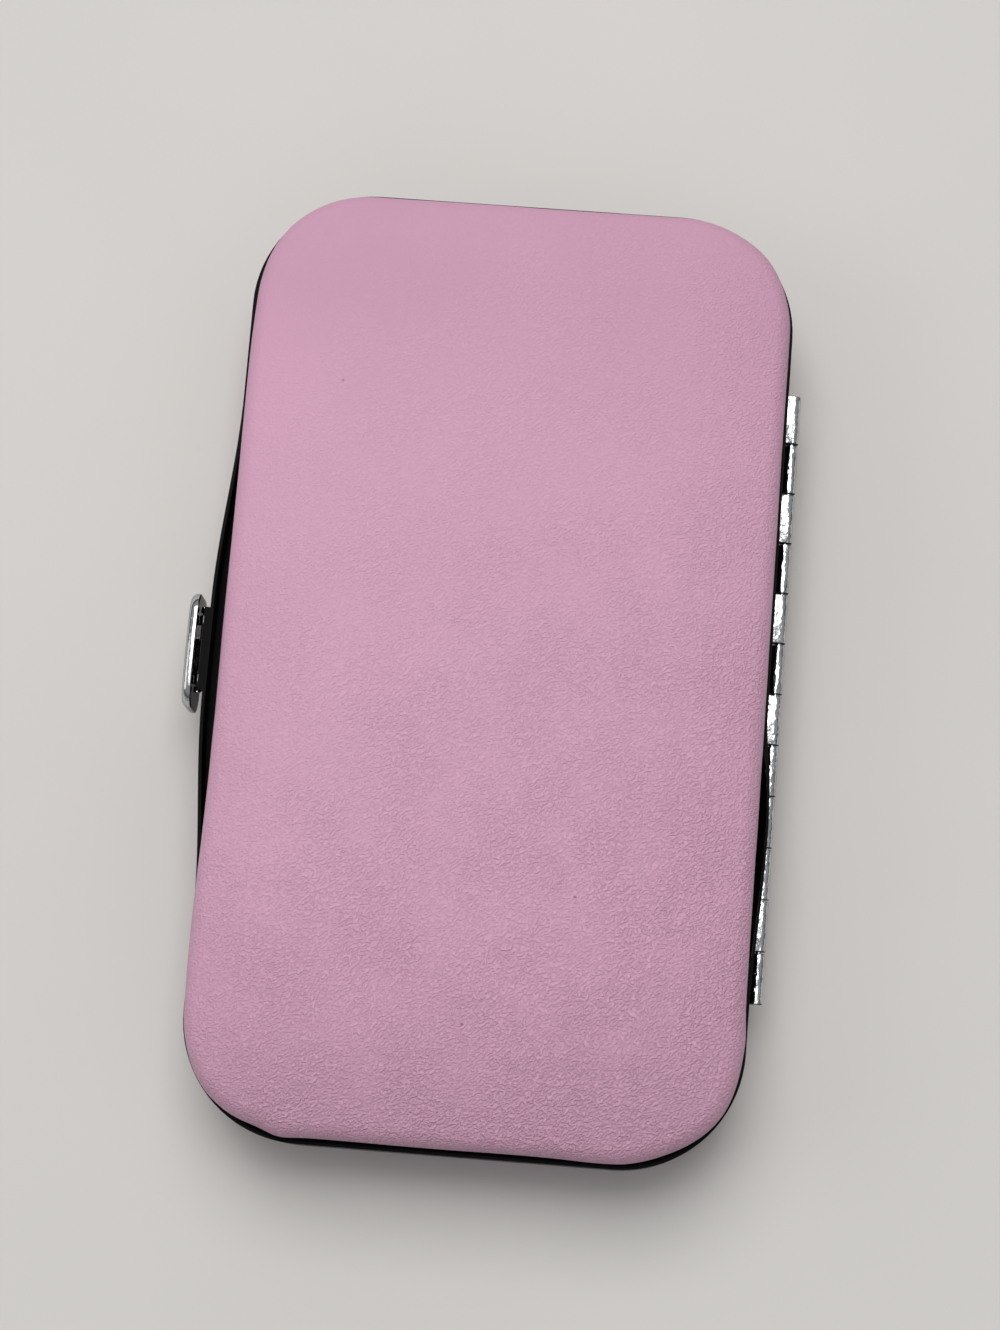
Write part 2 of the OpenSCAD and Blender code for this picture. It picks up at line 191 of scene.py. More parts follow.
class StageSettings(bpy.types.PropertyGroup):
    """Floor, lights and camera."""

    floor: bpy.props.FloatVectorProperty(
        name="Floor", description="Colour of the floor",
        subtype="COLOR", size=3, default=(0.65, 0.636, 0.616), min=0, max=1)
    key_power: bpy.props.FloatProperty(
        name="Key light", description="Power of the large soft lamp, in watts",
        default=11.4, min=0.0, unit="POWER")
    sky: bpy.props.FloatProperty(
        name="Sky", description="Strength of the even light from all round",
        default=0.4, min=0.0, max=2.0)
    lens: bpy.props.FloatProperty(
        name="Lens", description="Focal length on a 36 mm frame",
        default=81.2, min=20, max=200)


# Sections


def arc(middle, radius, start, end, steps):
    """Points on an arc of a section, as (out, up), with its ends given in degrees."""
    turns = [math.radians(start + (end - start) * i / steps) for i in range(steps + 1)]
    return [(middle[0] + radius * math.cos(t), middle[1] + radius * math.sin(t)) for t in turns]


def line(start, end, steps):
    """Points on a straight stretch of a section, without its last one."""
    return [(start[0] + (end[0] - start[0]) * i / steps, start[1] + (end[1] - start[1]) * i / steps)
            for i in range(steps)]


def crown():
    """Middle, radius and first angle of the low crown that runs on from the shoulder."""
    shoulder = CORNER_R - SHOULDER_R
    rise = HALF_H - WIDEST_S
    radius = ((shoulder - CROWN_START) ** 2 / (rise - SHOULDER_R) + rise + SHOULDER_R) / 2
    turn = math.degrees(math.acos((shoulder - CROWN_START) / (radius - SHOULDER_R)))
    return (CROWN_START, HALF_H - radius), radius, turn


def pad_section():
    """The closed section of a padded cover: along the shell, round the rim and over the crown."""
    middle, radius, turn = crown()
    shell = (SHELL_R - SHELL_ROUND, SHELL_TOP - SHELL_ROUND)
    roll = (CORNER_R - ROLL_R, WIDEST_S)
    tuck_turn = math.degrees(math.acos((TUCK_R - roll[0]) / ROLL_R))
    inner = (line((0, SHELL_TOP + CLEAR), (shell[0], SHELL_TOP + CLEAR), 6)
             + arc(shell, SHELL_ROUND + CLEAR, 90, 0, 8)
             + [(SHELL_R + CLEAR, RIM_S)])
    outer = ([(TUCK_R, RIM_S)]
             + line((TUCK_R, TUCK_S), (TUCK_R, WIDEST_S - ROLL_R * math.sin(math.radians(tuck_turn))), 3)
             + arc(roll, ROLL_R, -tuck_turn, 0, 6)[:-1]
             + arc((CORNER_R - SHOULDER_R, WIDEST_S), SHOULDER_R, 0, turn, 12)[:-1]
             + arc(middle, radius, turn, 90, 12)
             + [(0, HALF_H)])
    return inner + outer


def lining_section():
    """The section of the flocked lining inside a shell."""
    out = SHELL_R - SHELL_T
    top = SHELL_TOP - SHELL_T
    edge = SHELL_ROUND - SHELL_T
    return (line((0, top - CLEAR), (out - edge, top - CLEAR), 4)
            + arc((out - edge, top - edge), edge - CLEAR, 90, 0, 8)
            + [(out - CLEAR, LINING_RIM_S), (out - LINING_T, LINING_RIM_S)]
            + arc((out - edge, top - edge), edge - LINING_T, 0, 90, 8)
            + line((out - edge, top - LINING_T), (0, top - LINING_T), 4)[1:]
            + [(0, top - LINING_T)])


# Meshes


def chain(bm, points):
    """Adds a row of joined vertices and returns its geometry."""
    verts = [bm.verts.new(p) for p in points]
    edges = [bm.edges.new(pair) for pair in zip(verts, verts[1:])]
    return verts + edges


def swept_pan(section, corner, side, spacing=1.6):
    """A pan or pad from one section, turned round a corner of the plan, drawn along two sides
    and mirrored twice. side is 1 for the upper half and -1 for the lower."""
    bm = bmesh.new()
    cx, cy = corner
    z = [HALF_H + side * up for _, up in section]
    on_x = [(cx + out, cy, h) for (out, _), h in zip(section, z)]
    on_y = [(cx, cy + out, h) for (out, _), h in zip(section, z)]
    bmesh.ops.spin(bm, geom=chain(bm, on_x), cent=(cx, cy, 0), axis=(0, 0, 1),
                   angle=math.pi / 2, steps=20)
    steps_y, steps_x = round(cy / spacing), round(cx / spacing)
    bmesh.ops.spin(bm, geom=chain(bm, on_x), cent=(0, 0, 0), axis=(0, 0, 1),
                   dvec=(0, -cy / steps_y, 0), angle=0, steps=steps_y)
    bmesh.ops.spin(bm, geom=chain(bm, on_y), cent=(0, 0, 0), axis=(0, 0, 1),
                   dvec=(-cx / steps_x, 0, 0), angle=0, steps=steps_x)
    for height in (z[0], z[-1]):
        edge = [(cx, cy - cy * i / steps_y, height) for i in range(steps_y + 1)]
        bmesh.ops.spin(bm, geom=chain(bm, edge), cent=(0, 0, 0), axis=(0, 0, 1),
                       dvec=(-cx / steps_x, 0, 0), angle=0, steps=steps_x)
    bmesh.ops.remove_doubles(bm, verts=bm.verts, dist=MERGE_MADE)
    for axis in "XY":
        geom = bm.verts[:] + bm.edges[:] + bm.faces[:]
        bmesh.ops.mirror(bm, geom=geom, matrix=Matrix.Identity(4), merge_dist=MERGE_MADE, axis=axis)
    bmesh.ops.remove_doubles(bm, verts=bm.verts, dist=MERGE_MADE)
    bmesh.ops.recalc_face_normals(bm, faces=bm.faces)
    return bm


def outline(half_a, half_b, r, steps, runs):
    """Points round a rounded rectangle, with runs of each straight side's steps."""
    points = []
    for i, (a, b) in enumerate(((1, 1), (-1, 1), (-1, -1), (1, -1))):
        turn = arc((a * (half_a - r), b * (half_b - r)), r, 90 * i, 90 * i + 90, steps)
        if points:
            points += line(points[-1], turn[0], runs[(i + 1) % 2])[1:]
        points += turn
    return points + line(points[-1], points[0], runs[1])[1:]


def slab(plan, section, place, steps, runs):
    """A rounded slab built up of rings. plan is its half sizes and corner radius, each point of
    the section a depth and how far that ring lies inside the plan, and place puts a point."""
    bm = bmesh.new()
    half_a, half_b, r = plan
    rings = []
    for depth, inset in section:
        ring = outline(half_a - inset, half_b - inset, max(r - inset, 0.3), steps, runs)
        verts = [bm.verts.new(place(a, b, depth)) for a, b in ring]
        rings.append([bm.edges.new(pair) for pair in zip(verts, verts[1:] + verts[:1])])
    for low, high in zip(rings, rings[1:]):
        bmesh.ops.bridge_loops(bm, edges=low + high)
    for ring in (rings[0], rings[-1]):
        bmesh.ops.edgeloop_fill(bm, edges=ring)
    bmesh.ops.recalc_face_normals(bm, faces=bm.faces)
    return bm


def drawn_along(bm, path, start, end, steps):
    """A surface from a path in X and Z, drawn along Y."""
    bmesh.ops.spin(bm, geom=chain(bm, [(x, start, z) for x, z in path]), cent=(0, 0, 0),
                   axis=(0, 0, 1), dvec=(0, (end - start) / steps, 0), angle=0, steps=steps)


def thickened(piece, thick, edge):
    """Gives a surface its thickness, half to each side, and rounds its edges, in mm."""
    solid = piece.modifiers.new("thick", "SOLIDIFY")
    solid.thickness = thick * MM
    solid.offset = 0
    solid.use_even_offset = True
    soft = piece.modifiers.new("edges", "BEVEL")
    soft.width = edge * MM
    soft.segments = 3
    soft.limit_method = "ANGLE"
    soft.angle_limit = math.radians(50)


def rounded(piece):
    """Smooths a padded piece by one level of subdivision."""
    smoother = piece.modifiers.new("round", "SUBSURF")
    smoother.levels = smoother.render_levels = 1


def wire(name, runs, radius):
    """Round wire or thread along runs of points, in mm, as one mesh."""
    curve = bpy.data.curves.new(name, "CURVE")
    curve.dimensions = "3D"
    curve.bevel_depth = radius * MM
    curve.bevel_resolution = 2
    curve.use_fill_caps = True
    for points in runs:
        spline = curve.splines.new("POLY")
        spline.points.add(len(points) - 1)
        for point, place in zip(spline.points, points):
            point.co = (*(c * MM for c in place), 1)
    drawn = bpy.data.objects.new(name, curve)
    mesh = bpy.data.meshes.new_from_object(drawn)
    bpy.data.objects.remove(drawn)
    piece = bpy.data.objects.new(name, mesh)
    bpy.context.scene.collection.objects.link(piece)
    mesh.shade_smooth()
    mesh.set_sharp_from_angle(angle=math.radians(60))
    return piece


def finished(bm, name, smooth_angle=None):
    """Turns a bmesh in millimetres into an object in metres, with its place in its mesh."""
    bmesh.ops.scale(bm, vec=(MM, MM, MM), verts=bm.verts)
    mesh = bpy.data.meshes.new(name)
    bm.to_mesh(mesh)
    bm.free()
    piece = bpy.data.objects.new(name, mesh)
    bpy.context.scene.collection.objects.link(piece)
    mesh.shade_smooth()
    if smooth_angle is not None:
        mesh.set_sharp_from_angle(angle=math.radians(smooth_angle))
    return piece


def fitted(piece, material, body, slot, *nodes):
    """Gives a piece its finish and its body, and hides the nodes that it stands for; the slot is not used.
    """
    piece.data.materials.clear()
    piece.data.materials.append(material)
    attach(piece, body)
    if nodes:
        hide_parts(*nodes)
    return piece


def pressed_copy(node, edge, steps=2, keep_angle=24):
    """A copy of a rigid node with its loose triangles joined, its flats made whole and its
    sharp edges broken, as pressed and plated metal has them."""
    bm = bmesh.new()
    bm.from_mesh(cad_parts[node].data)
    bmesh.ops.scale(bm, vec=(1 / MM, 1 / MM, 1 / MM), verts=bm.verts)
    bmesh.ops.remove_doubles(bm, verts=bm.verts, dist=MERGE_CAD)
    bmesh.ops.dissolve_limit(bm, angle_limit=math.radians(FLAT_TURN), verts=bm.verts, edges=bm.edges)
    sharp = [e for e in bm.edges
             if len(e.link_faces) == 2 and e.calc_face_angle(0) > math.radians(keep_angle)]
    bmesh.ops.bevel(bm, geom=sharp, offset=edge, offset_type="OFFSET", segments=steps,
                    profile=0.5, affect="EDGES", clamp_overlap=True, material=-1)
    return finished(bm, f"{node}_metal", smooth_angle=keep_angle)


# Materials


def new_material(name):
    """A node material with its shader and an Object coordinate, in metres."""
    material = bpy.data.materials.new(name)
    material.use_nodes = True
    nodes = material.node_tree.nodes
    shader = nodes["Principled BSDF"]
    place = nodes.new("ShaderNodeTexCoord")
    return material, nodes, material.node_tree.links, shader, place.outputs["Object"]


def noise_field(nodes, links, place, size, detail=3.0, rough=0.5, stretch=(1, 1, 1)):
    """A noise whose features are about size mm across."""
    mapping = nodes.new("ShaderNodeMapping")
    mapping.inputs["Scale"].default_value = [s / (size * MM) for s in stretch]
    field = nodes.new("ShaderNodeTexNoise")
    field.inputs["Scale"].default_value = 1.0
    field.inputs["Detail"].default_value = detail
    field.inputs["Roughness"].default_value = rough
    links.new(place, mapping.inputs["Vector"])
    links.new(mapping.outputs["Vector"], field.inputs["Vector"])
    return field


def ramp(nodes, links, value, low, high, low_colour, high_colour):
    """A smooth ramp from one colour to another over a range of a field."""
    made = nodes.new("ShaderNodeValToRGB")
    made.color_ramp.interpolation = "EASE"
    made.color_ramp.elements[0].position = low
    made.color_ramp.elements[1].position = high
    made.color_ramp.elements[0].color = (*low_colour, 1)
    made.color_ramp.elements[1].color = (*high_colour, 1)
    links.new(value, made.inputs["Fac"])
    return made.outputs["Color"]


def remap(nodes, links, value, low, high, to_low, to_high):
    """A number moved from one range to another."""
    made = nodes.new("ShaderNodeMapRange")
    for socket, number in zip(("From Min", "From Max", "To Min", "To Max"),
                              (low, high, to_low, to_high)):
        made.inputs[socket].default_value = number
    links.new(value, made.inputs["Value"])
    return made.outputs["Result"]


def summed(nodes, links, first, second, operation="ADD"):
    """Two numbers joined by an operation."""
    made = nodes.new("ShaderNodeMath")
    made.operation = operation
    for socket, value in zip(made.inputs, (first, second)):
        if isinstance(value, (int, float)):
            socket.default_value = value
        else:
            links.new(value, socket)
    return made.outputs["Value"]


def bumped(nodes, links, shader, height, depth, strength=1.0):
    """Raises the shader's surface by a height field times a depth in mm."""
    bump = nodes.new("ShaderNodeBump")
    bump.inputs["Strength"].default_value = strength
    bump.inputs["Distance"].default_value = depth * MM
    links.new(height, bump.inputs["Height"])
    links.new(bump.outputs["Normal"], shader.inputs["Normal"])


def shade(colour, factor):
    """A colour made lighter or darker."""
    return tuple(min(1, c * factor) for c in colour)


def slanted(nodes, links, place, size, stretch, turn):
    """A coordinate for features about size mm wide, drawn out along a slant in degrees."""
    mapping = nodes.new("ShaderNodeMapping")
    mapping.vector_type = "TEXTURE"
    mapping.inputs["Rotation"].default_value = (0, 0, math.radians(turn))
    mapping.inputs["Scale"].default_value = (size * stretch * MM, size * MM, size * MM)
    links.new(place, mapping.inputs["Vector"])
    return mapping.outputs["Vector"]


def worms(nodes, links, coordinate):
    """Short winding crests with valleys between, as pressed grain has them."""
    field = nodes.new("ShaderNodeTexNoise")
    field.inputs["Scale"].default_value = 1.0
    field.inputs["Detail"].default_value = 0.6
    field.inputs["Distortion"].default_value = 0.35
    links.new(coordinate, field.inputs["Vector"])
    steep = nodes.new("ShaderNodeMapRange")
    steep.interpolation_type = "SMOOTHSTEP"
    steep.inputs["From Min"].default_value = 0.40
    steep.inputs["From Max"].default_value = 0.62
    links.new(field.outputs["Fac"], steep.inputs["Value"])
    return steep.outputs["Result"]


# Small dark specks in the upper cover's leatherette, in plan, in mm
SPECKS = [(-20.2, 32.1), (29.4, -10.1), (-0.1, -42.0), (11.6, -26.6), (20.8, 52.2)]
SPECK_R = 0.17


# The grain's slants in degrees with the shares of its two layers, and what the tone takes from
# the grain, the mottling, a painted sheen on the middle of the case and a painted falloff of light,
# lighter at the upper end on the clasp's side and darker towards the lower end on the hinge's side
GRAIN_SLANTS = (40, 28)
GRAIN_SHARES = (0.68, 0.32)
TONE_GRAIN = 0.5
TONE_MOTTLE = 0.3
PAINTED_SHEEN_TONE = 0.38
PAINTED_FALLOFF_TONE = 0.14


def leatherette(colour, grain, depth):
    """Soft pink leatherette: fine pressed grain that runs aslant and fades out towards the upper
    end on the clasp's side, with faint mottling and a few specks. Its colour also holds a painted
    sheen over the middle of the case and painted shade that deepens towards the lower end on the
    hinge's side."""
    material, nodes, links, shader, place = new_material("pink_leatherette")
    fine = worms(nodes, links, slanted(nodes, links, place, grain, 1.4, GRAIN_SLANTS[0]))
    wide = worms(nodes, links, slanted(nodes, links, place, grain * 1.5, 1.3, GRAIN_SLANTS[1]))
    grained = summed(nodes, links, summed(nodes, links, fine, GRAIN_SHARES[0], "MULTIPLY"),
                     summed(nodes, links, wide, GRAIN_SHARES[1], "MULTIPLY"))

    parts = nodes.new("ShaderNodeSeparateXYZ")
    links.new(place, parts.inputs["Vector"])
    lower = remap(nodes, links, parts.outputs["Y"], COVER_L * MM / 2, -COVER_L * MM / 2, -0.05, 1.05)
    aside = remap(nodes, links, parts.outputs["X"], -COVER_W * MM / 2, COVER_W * MM / 2, -0.14, 0.34)
    patch = noise_field(nodes, links, place, 7, detail=2.0)
    patchy = remap(nodes, links, patch.outputs["Fac"], 0.35, 0.6, 0.65, 1.0)
    where = remap(nodes, links, summed(nodes, links, lower, aside), 0.0, 1.1, 0.08, 1.0)
    height = summed(nodes, links, grained, summed(nodes, links, where, patchy, "MULTIPLY"), "MULTIPLY")
    bumped(nodes, links, shader, height, depth)

    mottle = noise_field(nodes, links, place, 14, detail=3.0)
    # Painted sheen: the middle half of the case is painted lighter, fading out towards both ends.
    end = summed(nodes, links, parts.outputs["Y"], 0.0, "ABSOLUTE")
    painted_sheen = remap(nodes, links, end, COVER_L * MM / 4, COVER_L * MM / 2, PAINTED_SHEEN_TONE, 0.0)
    tone = summed(nodes, links, summed(nodes, links, height, TONE_GRAIN, "MULTIPLY"),
                  summed(nodes, links, mottle.outputs["Fac"], TONE_MOTTLE, "MULTIPLY"))
    # Painted light and shade: lighter at the upper end on the clasp's side, darker towards the lower end on
    # the hinge's side.
    smooth = remap(nodes, links, where, 0.0, 1.0, PAINTED_FALLOFF_TONE, 0.0)
    tone = summed(nodes, links, tone, summed(nodes, links, painted_sheen, smooth))
    base = ramp(nodes, links, tone, 0.0, 1.0, shade(colour, 0.85), shade(colour, 1.06))
    for x, y in SPECKS:
        away = nodes.new("ShaderNodeVectorMath")
        away.operation = "DISTANCE"
        away.inputs[1].default_value = (x * MM, y * MM, (CASE_H - 0.15) * MM)
        links.new(place, away.inputs[0])
        mixed = nodes.new("ShaderNodeMix")
        mixed.data_type = "RGBA"
        mixed.inputs["A"].default_value = (*shade(colour, 0.35), 1)
        links.new(remap(nodes, links, away.outputs["Value"], 0.5 * SPECK_R * MM, 1.6 * SPECK_R * MM,
                        0.0, 1.0), mixed.inputs["Factor"])
        links.new(base, mixed.inputs["B"])
        base = mixed.outputs["Result"]
    links.new(base, shader.inputs["Base Color"])

    links.new(remap(nodes, links, lower, 0.05, 0.5, 0.8, 0.47), shader.inputs["Roughness"])
    shader.inputs["Specular IOR Level"].default_value = 0.36
    shader.inputs["Sheen Weight"].default_value = 0.05
    shader.inputs["Sheen Roughness"].default_value = 0.5
    return material


def enamel(colour):
    """Black baked enamel with a faint orange peel and slightly uneven gloss."""
    material, nodes, links, shader, place = new_material("frame_enamel")
    cloud = noise_field(nodes, links, place, 6, detail=4.0)
    peel = noise_field(nodes, links, place, 0.9, detail=2.0)
    links.new(ramp(nodes, links, cloud.outputs["Fac"], 0.3, 0.75, shade(colour, 0.8), shade(colour, 1.8)),
              shader.inputs["Base Color"])
    links.new(remap(nodes, links, cloud.outputs["Fac"], 0.3, 0.7, 0.24, 0.36), shader.inputs["Roughness"])
    bumped(nodes, links, shader, peel.outputs["Fac"], 0.012, 0.5)
    shader.inputs["Specular IOR Level"].default_value = 0.02
    return material


def black_enamel():
    """The frames' enamel, made once."""
    return ready("frame_enamel", lambda: enamel(colours().enamel))


def chrome(name, colour, ripple, ripple_size):
    """Bright plating over pressed steel, with ripples of a depth and size in mm."""
    material, nodes, links, shader, place = new_material(name)
    dull = noise_field(nodes, links, place, 3.0, detail=5.0, rough=0.6)
    wave = noise_field(nodes, links, place, ripple_size, detail=2.5, stretch=(1, 0.55, 1))
    links.new(ramp(nodes, links, dull.outputs["Fac"], 0.35, 0.7, shade(colour, 0.86), colour),
              shader.inputs["Base Color"])
    links.new(remap(nodes, links, dull.outputs["Fac"], 0.3, 0.75, 0.17, 0.07), shader.inputs["Roughness"])
    bumped(nodes, links, shader, wave.outputs["Fac"], ripple)
    shader.inputs["Metallic"].default_value = 1.0
    shader.inputs["Specular Tint"].default_value = (0.5, 0.5, 0.52, 1)
    return material


def cut_steel_painted_shade(colour=(0.05, 0.05, 0.052)):
    """Steel where it was cut, painted dark for the shade in the gaps between the knuckles: dull and faintly
    streaked.
    """
    material, nodes, links, shader, place = new_material("cut_steel_painted_shade")
    streak = noise_field(nodes, links, place, 0.3, detail=3.0, stretch=(1, 1, 0.3))
    links.new(ramp(nodes, links, streak.outputs["Fac"], 0.3, 0.75, shade(colour, 0.5), shade(colour, 1.6)),
              shader.inputs["Base Color"])
    shader.inputs["Metallic"].default_value = 0.6
    shader.inputs["Roughness"].default_value = 0.55
    return material


def velvet(name, colour):
    """Flocked lining: very dark and matt, with short nap brushed in soft patches."""
    material, nodes, links, shader, place = new_material(name)
    brushed = noise_field(nodes, links, place, 9, detail=3.0, rough=0.6)
    nap = noise_field(nodes, links, place, 0.22, detail=3.0, rough=0.7)
    tone = summed(nodes, links, summed(nodes, links, brushed.outputs["Fac"], 0.6, "MULTIPLY"),
                  summed(nodes, links, nap.outputs["Fac"], 0.6, "MULTIPLY"))
    links.new(ramp(nodes, links, tone, 0.35, 0.85, shade(colour, 0.6), shade(colour, 2.2)),
              shader.inputs["Base Color"])
    bumped(nodes, links, shader, nap.outputs["Fac"], 0.12, 0.8)
    shader.inputs["Roughness"].default_value = 0.95
    shader.inputs["Specular IOR Level"].default_value = 0.2
    shader.inputs["Sheen Weight"].default_value = 0.35
    shader.inputs["Sheen Roughness"].default_value = 0.35
    return material


def woven_elastic(colour):
    """Woven elastic: ribs along the case over fine cross threads."""
    material, nodes, links, shader, place = new_material("woven_elastic")
    parts = nodes.new("ShaderNodeSeparateXYZ")
    links.new(place, parts.inputs["Vector"])
    heights = []
    for axis, size in (("Y", 0.9), ("X", 0.42)):
        turn = summed(nodes, links, parts.outputs[axis], 2 * math.pi / (size * MM), "MULTIPLY")
        swing = nodes.new("ShaderNodeMath")
        swing.operation = "SINE"
        links.new(turn, swing.inputs[0])
        heights.append(swing.outputs["Value"])
    weave = summed(nodes, links, heights[0], summed(nodes, links, heights[1], 0.45, "MULTIPLY"))
    fuzz = noise_field(nodes, links, place, 0.3, detail=3.0)
    height = summed(nodes, links, summed(nodes, links, weave, 0.35, "MULTIPLY"), fuzz.outputs["Fac"])
    links.new(ramp(nodes, links, height, 0.1, 1.0, shade(colour, 0.5), shade(colour, 2.6)),
              shader.inputs["Base Color"])
    bumped(nodes, links, shader, height, 0.08, 0.8)
    shader.inputs["Roughness"].default_value = 0.8
    shader.inputs["Sheen Weight"].default_value = 0.15
    return material


def thread(colour=(0.045, 0.043, 0.045)):
    """Twisted sewing thread, almost black."""
    material, nodes, links, shader, place = new_material("sewing_thread")
    twist = noise_field(nodes, links, place, 0.12, detail=2.0)
    links.new(ramp(nodes, links, twist.outputs["Fac"], 0.3, 0.7, shade(colour, 0.6), shade(colour, 1.5)),
              shader.inputs["Base Color"])
    shader.inputs["Roughness"].default_value = 0.7
    return material


def moulded_plastic(colour=(0.05, 0.05, 0.055)):
    """Dark moulded plastic with a fine spark texture."""
    material, nodes, links, shader, place = new_material("moulded_plastic")
    spark = noise_field(nodes, links, place, 0.35, detail=2.0)
    flow = noise_field(nodes, links, place, 18, detail=2.0)
    links.new(ramp(nodes, links, flow.outputs["Fac"], 0.3, 0.7, shade(colour, 0.85), shade(colour, 1.2)),
              shader.inputs["Base Color"])
    bumped(nodes, links, shader, spark.outputs["Fac"], 0.03, 0.5)
    shader.inputs["Roughness"].default_value = 0.5
    return material


# Pieces


def sizes():
    """The user's sizes."""
    return bpy.context.scene.case_sizes


def colours():
    """The user's colours."""
    return bpy.context.scene.case_colours


def ready(name, make):
    """A material by name, made the first time that it is asked for."""
    return bpy.data.materials.get(name) or make()


def plan_out(x, y):
    """How far a point lies out from the middle of its nearest corner round, in mm."""
    return math.hypot(max(abs(x) - CORNER_X, 0), max(abs(y) - CORNER_Y, 0))


# Where the upper cover stands proud of its plan or is drawn in: (x, y, push, reach), in mm
PAD_MOVES = [
    (-28.9, -50.9, 0.32, 4.5),
    (-19.9, -55.6, 0.26, 1.6),
    (-22.6, -54.8, -0.22, 2.0),
    (24.0, -54.0, -0.2, 4.5),
    (29.4, -49.6, 0.2, 3.5),
    (32.1, -41.0, 0.24, 1.8),
    (28.8, 51.4, 0.26, 4.0),
    (-31.9, 44.5, -0.28, 5.0),
    (-32.0, -34.0, 0.32, 11.0),
    (-5.0, -56.0, 0.1, 12.0),
    (17.0, -55.9, 0.28, 5.0),
    (27.0, -52.0, 0.15, 4.0),
]


def eased(value, low, high):
    """A number's way between two limits, eased at both ends."""
    t = max(0.0, min(1.0, (value - low) / (high - low)))
    return t * t * (3 - 2 * t)


# Sizes in mm of the pad's slow waves and of its puckers, and the puckers' share of the ease
WAVE_SIZE = 13.0
PUCKER_SIZE = 2.6
PUCKER_SHARE = 0.7


def stretched(bm, side, ease):
    """Moves the outer skin a little, as leatherette drawn by hand over foam: slow waves, fine
    puckers towards the frame, and the places where it stands proud or was drawn in harder. No
    point goes below the floor that the case lies on."""
    bm.normal_update()
    moves = []
    for v in bm.verts:
        x, y = v.co.xy
        out, up = plan_out(x, y), side * (v.co.z - HALF_H)
        if up < SHELL_TOP + 0.1 and out < SHELL_R + 0.2:
            continue
        slow = noise.noise(Vector((x, y, up + 3 * side)) / WAVE_SIZE)
        low = 1 - eased(up, 5.2, 8.2)
        pucker = noise.noise(Vector((x, y, 0.3 * up + 7 * side)) / PUCKER_SIZE)
        move = v.normal * (ease * (slow - 0.4) + PUCKER_SHARE * ease * low * (pucker - 0.3))
        away = Vector((math.copysign(max(abs(x) - CORNER_X, 0), x),
                       math.copysign(max(abs(y) - CORNER_Y, 0), y), 0))
        edge = eased(out, 8.0, 12.6) * (0.35 + 0.65 * eased(up, 2.4, 4.6))
        if side > 0 and edge > 0:
            pushes = [push * math.exp(-((x - px) ** 2 + (y - py) ** 2) / reach ** 2)
                      for px, py, push, reach in PAD_MOVES]
            move += away.normalized() * edge * sum(pushes)
        moves.append((v, move))
    for v, move in moves:
        v.co += move
        v.co.z = max(v.co.z, OFF_FLOOR)


class CASE_OT_padded_covers(bpy.types.Operator):
    """Model both padded leatherette covers, with the foam inside them"""

    bl_idname = "case.padded_covers"
    bl_label = "Padded covers"

    def execute(self, context):
        material = ready("pink_leatherette", lambda: leatherette(
            colours().leatherette, sizes().grain, sizes().grain_depth))
        for half, side in HALVES.items():
            bm = swept_pan(pad_section(), (CORNER_X, CORNER_Y), side)
            stretched(bm, side, sizes().ease)
            if half == "upper":
                shift = Vector((sizes().pad_shift_x, sizes().pad_shift_y, 0))
                bmesh.ops.translate(bm, vec=shift, verts=bm.verts)
            pad = finished(bm, f"{half}_pad", smooth_angle=70)
            rounded(pad)
            fitted(pad, material, BODY_OF_HALF[half], "leatherette", f"{half}_cover", f"{half}_foam")
        return {"FINISHED"}


def drawn_in(metal):
    """Draws the flare in a little, from its fullest towards the lower end, so that the hinge
    beside it shows."""
    for v in metal.data.vertices:
        reach = v.co.x - FLARE_FROM * MM
        if reach > 0:
            v.co.x -= FLARE_DRAWN * reach * (1 - eased(v.co.y / MM, *FLARE_FADE))


class CASE_OT_frames(bpy.types.Operator):
    """Finish both channel frames in enamel, with broken edges, and the shells in plastic"""

    bl_idname = "case.frames"
    bl_label = "Frames"

    def execute(self, context):
        material, plastic = black_enamel(), ready("moulded_plastic", moulded_plastic)
        for half in HALVES:
            metal = pressed_copy(f"{half}_frame", sizes().metal_edge)
            drawn_in(metal)
            fitted(metal, material, BODY_OF_HALF[half], "frame_paint", f"{half}_frame")
            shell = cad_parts[f"{half}_shell"]
            shell.data.materials.clear()
            shell.data.materials.append(plastic)
        return {"FINISHED"}


# A face that looks along the case by more than this is a knuckle's cut end or its broken edge, and is
# painted dark for the shade in the gaps between the knuckles
SHADED_END_FACE = 0.3


class CASE_OT_hinge(bpy.types.Operator):
    """Finish the piano hinge: rippled leaves with rolled knuckles, and the pin"""

    bl_idname = "case.hinge"
    bl_label = "Piano hinge"

    def execute(self, context):
        leaf = ready("hinge_chrome", lambda: chrome(
            "hinge_chrome", shade(colours().chrome, 1.08), 0.15, 0.55))
        cut = ready("cut_steel_painted_shade", cut_steel_painted_shade)
        for half in HALVES:
            metal = pressed_copy(f"{half}_hinge_leaf", sizes().metal_edge)
            fitted(metal, leaf, BODY_OF_HALF[half], "chrome_plate", f"{half}_hinge_leaf")
            metal.data.materials.append(cut)
            # The knuckles' ends are painted dark for the shade in the gaps between the knuckles.
            for face in metal.data.polygons:
                face.material_index = 1 if abs(face.normal.y) > SHADED_END_FACE else 0
        pin = pressed_copy("hinge_pin", sizes().metal_edge)
        fitted(pin, leaf, "base", "chrome_plate", "hinge_pin")
        return {"FINISHED"}


def plate_ring(a, b, depth):
    """Places a point of the clasp plate, whose plan lies in Y and Z."""
    return (PLATE_OUT + PLATE_T - depth, a - PLATE_SHORT / 2, HALF_H + b)


def rim_arc(depth, radius, start, end, steps):
    """An arc of the plate's rim from its middle's depth, as (depth, inset)."""
    return [(d, -up) for d, up in arc((depth, -radius), radius, start, end, steps)]


